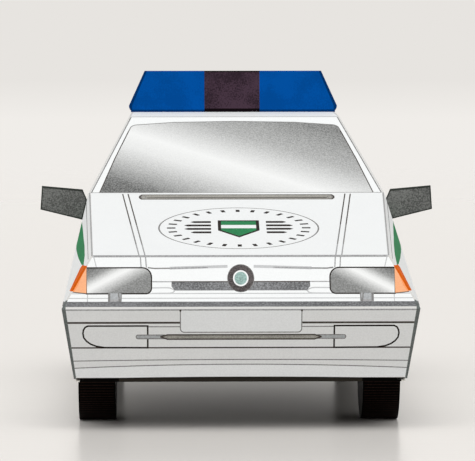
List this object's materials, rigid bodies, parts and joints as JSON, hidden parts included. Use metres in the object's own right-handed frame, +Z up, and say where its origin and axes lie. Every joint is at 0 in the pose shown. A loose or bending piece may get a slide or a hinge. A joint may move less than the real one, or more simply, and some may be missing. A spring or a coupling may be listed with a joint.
{
  "type": "card model police car",
  "caption": "Folded card model of a small police hatchback: hollow printed shell, flat mirrors, beacon bar and rolled paper wheels that turn on their axles.",
  "frame": {"origin": "on the ground under the middle of the model", "axes": "+Z up, nose towards -Y, +X towards the car's own left"},
  "size_m": [0.0762, 0.1604, 0.066],
  "materials": {
    "white_card": "smooth, slightly glossy print side",
    "plain_card": "unprinted back of the card",
    "grey_printed_card": "grey toner",
    "dark_grey_printed_card": "dark grey toner",
    "window_printed_card": "printed grey reflections",
    "blue_printed_card": "blue toner",
    "black_printed_card": "black toner",
    "wheel_printed_card": "printed tyre wall and wheel trim"
  },
  "bodies": {
    "car_body": {"front_bumper": "grey_printed_card", "rear_bumper": "grey_printed_card", "nose_panel": "white_card", "bonnet_panel": "white_card", "windscreen_panel": "window_printed_card", "roof_panel": "white_card", "rear_window_panel": "window_printed_card", "tailgate_panel": "white_card", "left_side_panel": "white_card", "right_side_panel": "white_card", "left_mirror": "dark_grey_printed_card", "right_mirror": "dark_grey_printed_card", "floor_panel": "black_printed_card", "beacon_bar": "blue_printed_card"},
    "front_wheels": {"front_axle": "plain_card", "front_washers": "plain_card", "front_left_tread": "black_printed_card", "front_right_tread": "black_printed_card", "front_left_wheel_face": "wheel_printed_card", "front_right_wheel_face": "wheel_printed_card", "front_left_wheel_back": "black_printed_card", "front_right_wheel_back": "black_printed_card"},
    "rear_wheels": {"rear_axle": "plain_card", "rear_washers": "plain_card", "rear_left_tread": "black_printed_card", "rear_right_tread": "black_printed_card", "rear_left_wheel_face": "wheel_printed_card", "rear_right_wheel_face": "wheel_printed_card", "rear_left_wheel_back": "black_printed_card", "rear_right_wheel_back": "black_printed_card"}
  },
  "joints": [
    {"name": "front_axle_roll", "type": "hinge", "parent": "car_body", "child": "front_wheels", "pos_m": [0, -0.0505, 0.0117], "axis": [1, 0, 0], "continuous": true},
    {"name": "rear_axle_roll", "type": "hinge", "parent": "car_body", "child": "rear_wheels", "pos_m": [0, 0.0516, 0.0117], "axis": [1, 0, 0], "continuous": true}
  ]
}
